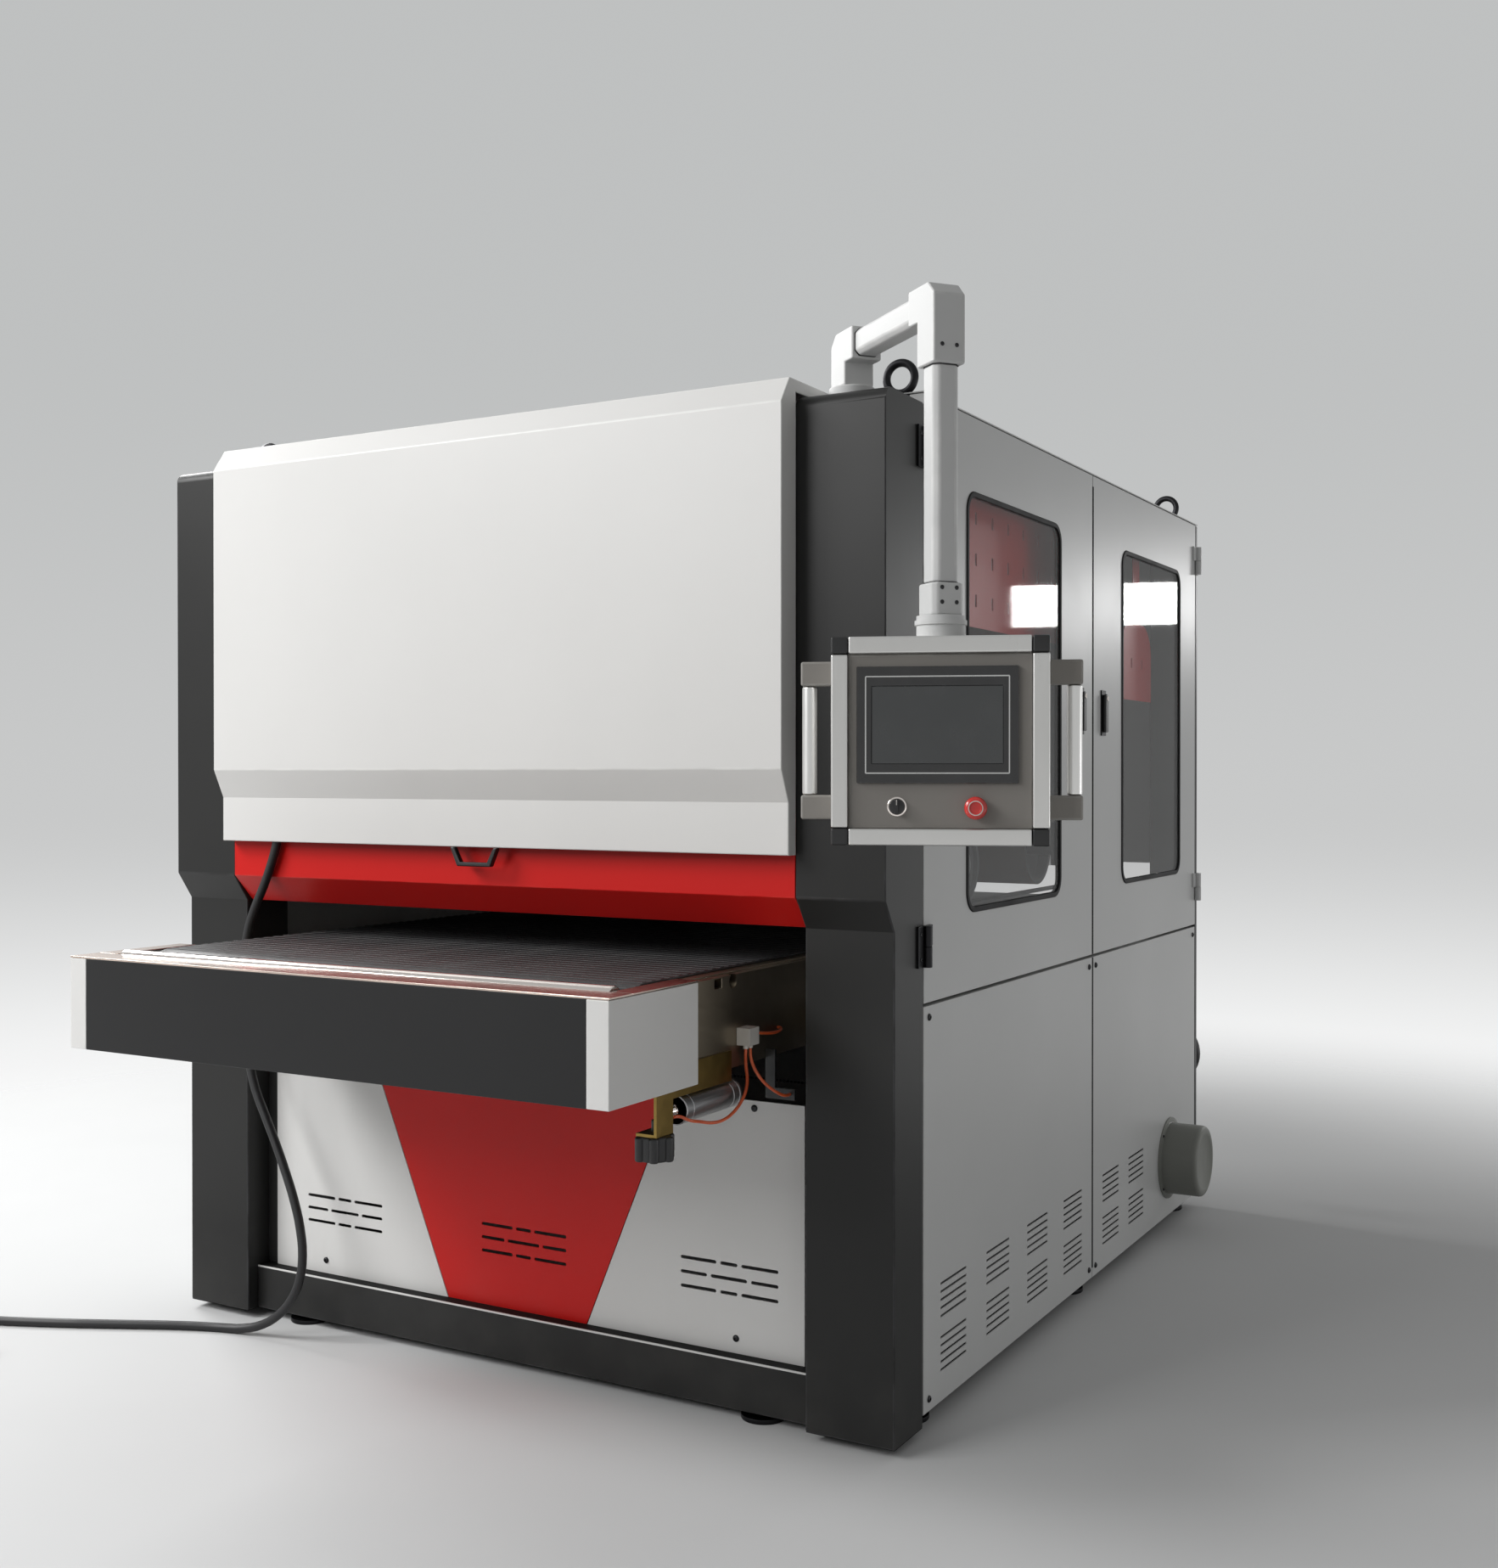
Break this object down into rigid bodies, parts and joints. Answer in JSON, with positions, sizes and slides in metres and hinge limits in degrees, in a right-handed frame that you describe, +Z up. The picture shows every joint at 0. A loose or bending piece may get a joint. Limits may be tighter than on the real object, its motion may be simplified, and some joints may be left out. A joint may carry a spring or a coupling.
{
  "type": "wide belt sander",
  "caption": "Floor-standing wide belt sander with a rising conveyor table, two enclosed sanding heads, side doors, a front hood and a swivelling control pendant.",
  "frame": {"origin": "on the floor under the middle of the machine's bounding box, without the power cord", "axes": "+Y along the feed from infeed to outfeed, +X to the operator's right, +Z up"},
  "size_m": [2.7515, 2.9339, 2.116],
  "materials": {
    "charcoal_paint": "satin charcoal powder coat",
    "grey_paint": "satin light grey powder coat",
    "front_paint": "satin warm white, with a red middle panel",
    "white_paint": "satin warm white powder coat",
    "red_paint": "satin signal red powder coat",
    "black_steel": "blackened",
    "screw_steel": "black oxide",
    "cast_grey": "painted casting",
    "abrasive": "brown abrasive cloth",
    "galvanised": "zinc-coated sheet",
    "motor_paint": "grey machine paint",
    "drive_rubber": "matte",
    "chain_steel": "oiled",
    "arm_paint": "light grey powder coat",
    "arm_aluminium": "light grey powder coat",
    "black_plastic": "fine grain",
    "cord_rubber": "matte black sheath",
    "plug_plastic": "red",
    "drum_steel": "ground",
    "drum_rubber": "ground rubber cover",
    "bed_steel": "bright, brushed",
    "belt_rubber": "ribbed black rubber",
    "chrome": "polished",
    "apron_paint": "satin black",
    "gear_paint": "blue-grey machine paint",
    "bracket_brass": "yellow passivated",
    "hose_plastic": "orange-red tube",
    "screw_steel_ground": "rolled thread",
    "box_aluminium": "satin anodised",
    "screen_glass": "glossy",
    "handle_aluminium": "satin",
    "stop_red": "glossy",
    "window_glass": "smoked, in black rubber"
  },
  "bodies": {
    "frame": {"left_column": "charcoal_paint", "right_column": "charcoal_paint", "frame_rails": "charcoal_paint", "roof_panel": "grey_paint", "right_side_panels": "grey_paint", "cabinet_panels": "grey_paint", "front_panels": "front_paint", "red_crossbar": "red_paint", "lifting_eyes": "black_steel", "levelling_feet": "black_steel", "panel_screws": "screw_steel", "inner_guards": "red_paint", "head_arms": "cast_grey", "abrasive_belts": "abrasive", "dust_ports": "galvanised", "main_motor": "motor_paint", "drive_belts": "drive_rubber", "lift_drive": "chain_steel", "arm_base": "arm_paint", "hinge_pins": "black_steel", "cord_gland": "black_plastic", "power_cord": "cord_rubber", "cord_coil": "cord_rubber", "cord_plug": "plug_plastic"},
    "front_drum": {"front_drum": "drum_steel"},
    "rear_drum": {"rear_drum": "drum_rubber"},
    "front_tension_roller": {"front_tension_roller": "drum_steel"},
    "rear_tension_roller": {"rear_tension_roller": "drum_steel"},
    "pressure_roller": {"pressure_roller": "drum_rubber"},
    "motor_pulley": {"motor_pulley": "drum_steel"},
    "table": {"table_bed": "bed_steel", "conveyor_belt": "belt_rubber", "apron_panel": "apron_paint", "apron_end_caps": "white_paint", "conveyor_gearmotor": "gear_paint", "tracking_unit": "bracket_brass", "air_hoses": "hose_plastic"},
    "conveyor_drive_roller": {"conveyor_drive_roller": "drum_steel"},
    "conveyor_tension_roller": {"conveyor_tension_roller": "drum_steel"},
    "infeed_roller": {"infeed_roller": "chrome"},
    "star_knob": {"star_knob": "black_plastic"},
    "front_left_lift_screw": {"front_left_lift_screw": "screw_steel_ground"},
    "front_right_lift_screw": {"front_right_lift_screw": "screw_steel_ground"},
    "rear_left_lift_screw": {"rear_left_lift_screw": "screw_steel_ground"},
    "rear_right_lift_screw": {"rear_right_lift_screw": "screw_steel_ground"},
    "lift_handwheel": {"lift_handwheel": "black_plastic"},
    "arm": {"pendant_arm": "arm_aluminium"},
    "pendant": {"pendant_box": "box_aluminium", "pendant_screen": "screen_glass", "pendant_handles": "handle_aluminium"},
    "estop_button": {"estop_button": "stop_red"},
    "selector_switch": {"selector_switch": "black_plastic"},
    "front_door": {"front_door": "grey_paint", "front_door_glass": "window_glass"},
    "front_latch": {"front_latch": "black_plastic"},
    "rear_door": {"rear_door": "grey_paint", "rear_door_glass": "window_glass"},
    "rear_latch": {"rear_latch": "black_plastic"},
    "hood": {"hood_cover": "white_paint", "hood_handle": "black_plastic"}
  },
  "joints": [
    {"name": "table_lift", "type": "slide", "parent": "frame", "child": "table", "axis": [0, 0, 1], "range_m": [-0.085, 0.057]},
    {"name": "front_left_screw_turn", "type": "hinge", "parent": "frame", "child": "front_left_lift_screw", "pos_m": [-0.8913, -0.578, 0.5], "axis": [0, 0, 1], "range_deg": [-3100, 2100]},
    {"name": "front_right_screw_turn", "type": "hinge", "parent": "frame", "child": "front_right_lift_screw", "pos_m": [0.4887, -0.578, 0.5], "axis": [0, 0, 1], "range_deg": [-3100, 2100]},
    {"name": "rear_left_screw_turn", "type": "hinge", "parent": "frame", "child": "rear_left_lift_screw", "pos_m": [-0.8913, 0.872, 0.5], "axis": [0, 0, 1], "range_deg": [-3100, 2100]},
    {"name": "rear_right_screw_turn", "type": "hinge", "parent": "frame", "child": "rear_right_lift_screw", "pos_m": [0.4887, 0.872, 0.5], "axis": [0, 0, 1], "range_deg": [-3100, 2100]},
    {"name": "handwheel_turn", "type": "hinge", "parent": "frame", "child": "lift_handwheel", "pos_m": [0.5887, 1.252, 0.422], "axis": [0, 1, 0], "range_deg": [-6200, 4200]},
    {"name": "conveyor_drive_spin", "type": "hinge", "parent": "table", "child": "conveyor_drive_roller", "pos_m": [-0.2013, 1.207, 0.83], "axis": [1, 0, 0], "continuous": true},
    {"name": "conveyor_tension_spin", "type": "hinge", "parent": "table", "child": "conveyor_tension_roller", "pos_m": [-0.2013, -1.228, 0.83], "axis": [1, 0, 0], "continuous": true},
    {"name": "infeed_spin", "type": "hinge", "parent": "table", "child": "infeed_roller", "pos_m": [-0.2013, -1.333, 0.89], "axis": [1, 0, 0], "continuous": true},
    {"name": "tracking_knob_turn", "type": "hinge", "parent": "table", "child": "star_knob", "pos_m": [0.4207, -1.2305, 0.62], "axis": [0, 0, 1], "continuous": true},
    {"name": "front_drum_spin", "type": "hinge", "parent": "frame", "child": "front_drum", "pos_m": [-0.2013, -0.238, 1.0718], "axis": [1, 0, 0], "continuous": true},
    {"name": "rear_drum_spin", "type": "hinge", "parent": "frame", "child": "rear_drum", "pos_m": [-0.2013, 0.782, 1.0718], "axis": [1, 0, 0], "continuous": true},
    {"name": "front_tension_spin", "type": "hinge", "parent": "frame", "child": "front_tension_roller", "pos_m": [-0.2013, -0.238, 1.7], "axis": [1, 0, 0], "continuous": true},
    {"name": "rear_tension_spin", "type": "hinge", "parent": "frame", "child": "rear_tension_roller", "pos_m": [-0.2013, 0.782, 1.7], "axis": [1, 0, 0], "continuous": true},
    {"name": "motor_spin", "type": "hinge", "parent": "frame", "child": "motor_pulley", "pos_m": [-0.2013, 0.959, 0.2], "axis": [1, 0, 0], "continuous": true},
    {"name": "pressure_spin", "type": "hinge", "parent": "frame", "child": "pressure_roller", "pos_m": [-0.2013, -0.438, 0.9953], "axis": [1, 0, 0], "continuous": true},
    {"name": "hood_hinge", "type": "hinge", "parent": "frame", "child": "hood", "pos_m": [-0.2013, -0.704, 2.022], "axis": [1, 0, 0], "range_deg": [-80, 0]},
    {"name": "front_door_hinge", "type": "hinge", "parent": "frame", "child": "front_door", "pos_m": [0.7302, -0.7465, 1.4], "axis": [0, 0, 1], "range_deg": [-95, 0]},
    {"name": "rear_door_hinge", "type": "hinge", "parent": "frame", "child": "rear_door", "pos_m": [0.7302, 1.2285, 1.4], "axis": [0, 0, -1], "range_deg": [-95, 0]},
    {"name": "front_latch_turn", "type": "hinge", "parent": "front_door", "child": "front_latch", "pos_m": [0.7212, 0.186, 1.461], "axis": [-1, 0, 0], "range_deg": [0, 90]},
    {"name": "rear_latch_turn", "type": "hinge", "parent": "rear_door", "child": "rear_latch", "pos_m": [0.7212, 0.356, 1.461], "axis": [1, 0, 0], "range_deg": [0, 90]},
    {"name": "arm_swivel", "type": "hinge", "parent": "frame", "child": "arm", "pos_m": [0.5987, -0.808, 2], "axis": [0, 0, 1], "range_deg": [-30, 60]},
    {"name": "pendant_swivel", "type": "hinge", "parent": "arm", "child": "pendant", "pos_m": [0.87731, -1.02961, 1.54], "axis": [0, 0, 1], "range_deg": [-30, 25]},
    {"name": "estop_press", "type": "slide", "parent": "pendant", "child": "estop_button", "axis": [-0.3584, 0.9336, 0], "range_m": [0, 0.005], "stiffness_N_per_m": 800},
    {"name": "selector_turn", "type": "hinge", "parent": "pendant", "child": "selector_switch", "pos_m": [0.83159, -1.11143, 1.218], "axis": [-0.3584, 0.9336, 0], "range_deg": [-45, 45]}
  ],
  "couplings": [
    {"joint": "front_left_screw_turn", "follows": "table_lift", "rad_per_m": 628.32},
    {"joint": "front_right_screw_turn", "follows": "table_lift", "rad_per_m": 628.32},
    {"joint": "rear_left_screw_turn", "follows": "table_lift", "rad_per_m": 628.32},
    {"joint": "rear_right_screw_turn", "follows": "table_lift", "rad_per_m": 628.32},
    {"joint": "handwheel_turn", "follows": "table_lift", "rad_per_m": 1256.6},
    {"joint": "conveyor_tension_spin", "follows": "conveyor_drive_spin", "ratio": 1},
    {"joint": "rear_drum_spin", "follows": "front_drum_spin", "ratio": 1},
    {"joint": "front_tension_spin", "follows": "front_drum_spin", "ratio": 1.7463},
    {"joint": "rear_tension_spin", "follows": "front_drum_spin", "ratio": 1.7463},
    {"joint": "motor_spin", "follows": "front_drum_spin", "ratio": 1.4546}
  ]
}
